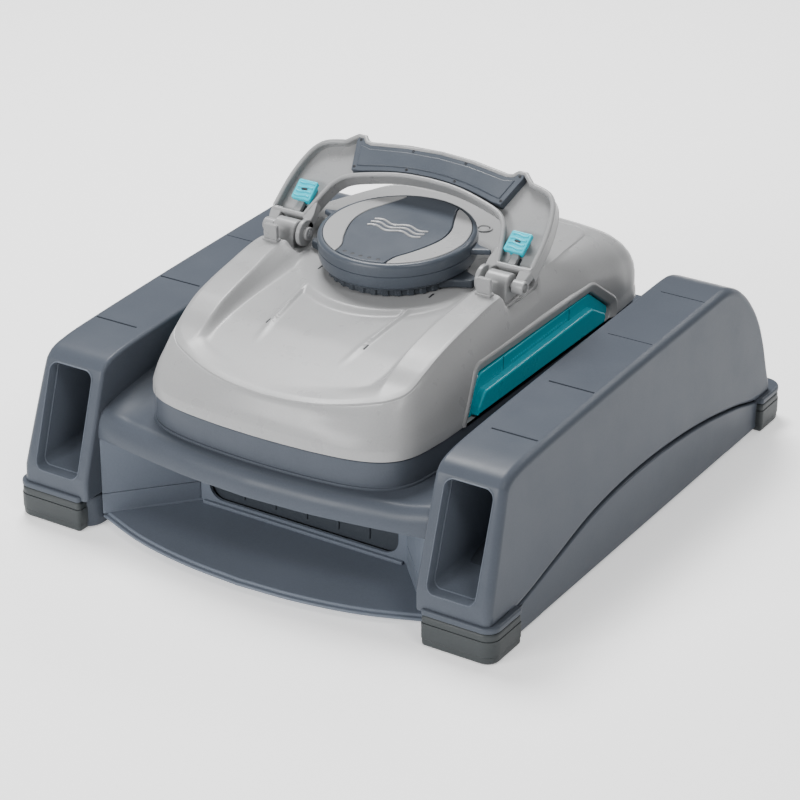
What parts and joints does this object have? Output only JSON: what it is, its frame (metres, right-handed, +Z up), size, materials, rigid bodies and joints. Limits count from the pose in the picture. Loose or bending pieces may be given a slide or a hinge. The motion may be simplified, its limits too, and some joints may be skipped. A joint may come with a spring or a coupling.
{
  "type": "pool cleaner",
  "caption": "Floating surface skimmer for pools: two ducted pontoons, a front scoop, a lift-off cover with a round control module and a hinged carrying handle.",
  "frame": {"origin": "centre of the footprint, on the surface that the bumpers stand on", "axes": "+X to the machine's right, -Y towards the open mouth, +Z up"},
  "size_m": [0.43, 0.486, 0.2553],
  "materials": {
    "hull_slate": "satin moulded, fine grain",
    "dark_plastic": "satin moulded",
    "shell_grey": "satin moulded, fine grain",
    "module_slate": "satin moulded, fine grain",
    "teal": "semi-gloss",
    "bumper_rubber": "matt",
    "seal_rubber": "matt",
    "steel": "brushed stainless",
    "motor_case": "matt",
    "circuit_board": "solder mask",
    "indicator": "smoked lens",
    "foam": "closed-cell foam",
    "basket_mesh": "woven mesh panel"
  },
  "bodies": {
    "hull": {"hull_tray": "hull_slate", "hull_deck": "hull_slate", "cover_seal": "seal_rubber", "hull_screws": "steel", "flap_hinge_pin": "steel", "pontoon_upper_right": "hull_slate", "pontoon_upper_left": "hull_slate", "pontoon_lower_right": "hull_slate", "pontoon_lower_left": "hull_slate", "intake_duct_right": "hull_slate", "intake_duct_left": "hull_slate", "outlet_grille_right": "hull_slate", "outlet_grille_left": "hull_slate", "thruster_motor_right": "motor_case", "thruster_motor_left": "motor_case", "float_foam_right": "foam", "float_foam_left": "foam", "bumper_front_right": "bumper_rubber", "bumper_front_left": "bumper_rubber", "bumper_rear_right": "bumper_rubber", "bumper_rear_left": "bumper_rubber"},
    "propeller_right": {"propeller_right": "dark_plastic", "prop_shaft_right": "steel"},
    "propeller_left": {"propeller_left": "dark_plastic", "prop_shaft_left": "steel"},
    "inlet_flap": {"inlet_flap": "dark_plastic"},
    "basket": {"debris_basket": "dark_plastic", "basket_mesh": "basket_mesh", "basket_handle": "dark_plastic"},
    "top_cover": {"top_shell": "shell_grey", "cover_pan": "dark_plastic", "battery_pack": "motor_case", "control_board": "circuit_board", "button_post": "dark_plastic", "button_spring": "steel", "latch_pin_right": "steel", "latch_pin_left": "steel", "hinge_bracket_right": "shell_grey", "hinge_bracket_left": "shell_grey", "hinge_pins": "steel"},
    "power_button": {"power_button": "shell_grey"},
    "side_latch_right": {"side_latch_right": "teal"},
    "side_latch_left": {"side_latch_left": "teal"},
    "lock_ring": {"lock_ring": "module_slate"},
    "control_module": {"module_housing": "module_slate", "module_cap": "module_slate", "indicator_lights": "indicator", "module_inlay_right": "shell_grey", "module_inlay_left": "shell_grey", "module_board": "circuit_board", "module_seal": "seal_rubber"},
    "handle": {"handle_frame": "shell_grey", "grip_front": "module_slate", "grip_back": "module_slate", "grip_screws": "steel"},
    "lock_slider_right": {"lock_slider_right": "teal"},
    "lock_slider_left": {"lock_slider_left": "teal"}
  },
  "joints": [
    {"name": "propeller_spin_right", "type": "hinge", "parent": "hull", "child": "propeller_right", "pos_m": [0.178, 0.12, 0.078], "axis": [0, 1, 0], "continuous": true},
    {"name": "propeller_spin_left", "type": "hinge", "parent": "hull", "child": "propeller_left", "pos_m": [-0.178, 0.12, 0.078], "axis": [0, 1, 0], "continuous": true},
    {"name": "flap_swing", "type": "hinge", "parent": "hull", "child": "inlet_flap", "pos_m": [0, -0.1495, 0.069], "axis": [1, 0, 0], "range_deg": [0, 65]},
    {"name": "basket_pull", "type": "slide", "parent": "hull", "child": "basket", "axis": [0, 1, 0], "range_m": [0, 0.32]},
    {"name": "cover_lift", "type": "slide", "parent": "hull", "child": "top_cover", "axis": [0, 0, 1], "range_m": [0, 0.12]},
    {"name": "button_press", "type": "slide", "parent": "top_cover", "child": "power_button", "axis": [0, 0, -1], "range_m": [0, 0.0015], "stiffness_N_per_m": 600, "springref_m": -0.001, "deforming": ["button_spring"]},
    {"name": "latch_swing_right", "type": "hinge", "parent": "top_cover", "child": "side_latch_right", "pos_m": [0.117, 0, 0.1465], "axis": [0, -1, 0], "range_deg": [0, 12], "stiffness_Nm_per_rad": 0.5, "springref_deg": -11.46},
    {"name": "latch_swing_left", "type": "hinge", "parent": "top_cover", "child": "side_latch_left", "pos_m": [-0.117, 0, 0.1465], "axis": [0, 1, 0], "range_deg": [0, 12], "stiffness_Nm_per_rad": 0.5, "springref_deg": -11.46},
    {"name": "ring_twist", "type": "hinge", "parent": "top_cover", "child": "lock_ring", "pos_m": [0, -0.0196, 0.2136], "axis": [0, -0.0698, 0.9976], "range_deg": [0, 22]},
    {"name": "module_lift", "type": "slide", "parent": "top_cover", "child": "control_module", "axis": [0, -0.0698, 0.9976], "range_m": [0, 0.008]},
    {"name": "handle_swing", "type": "hinge", "parent": "top_cover", "child": "handle", "pos_m": [0, -0.027, 0.194], "axis": [1, 0, 0], "range_deg": [-8, 60]},
    {"name": "slider_travel_right", "type": "slide", "parent": "handle", "child": "lock_slider_right", "axis": [0, 0.7905, 0.6125], "range_m": [0, 0.004]},
    {"name": "slider_travel_left", "type": "slide", "parent": "handle", "child": "lock_slider_left", "axis": [0, 0.7905, 0.6125], "range_m": [0, 0.004]}
  ]
}
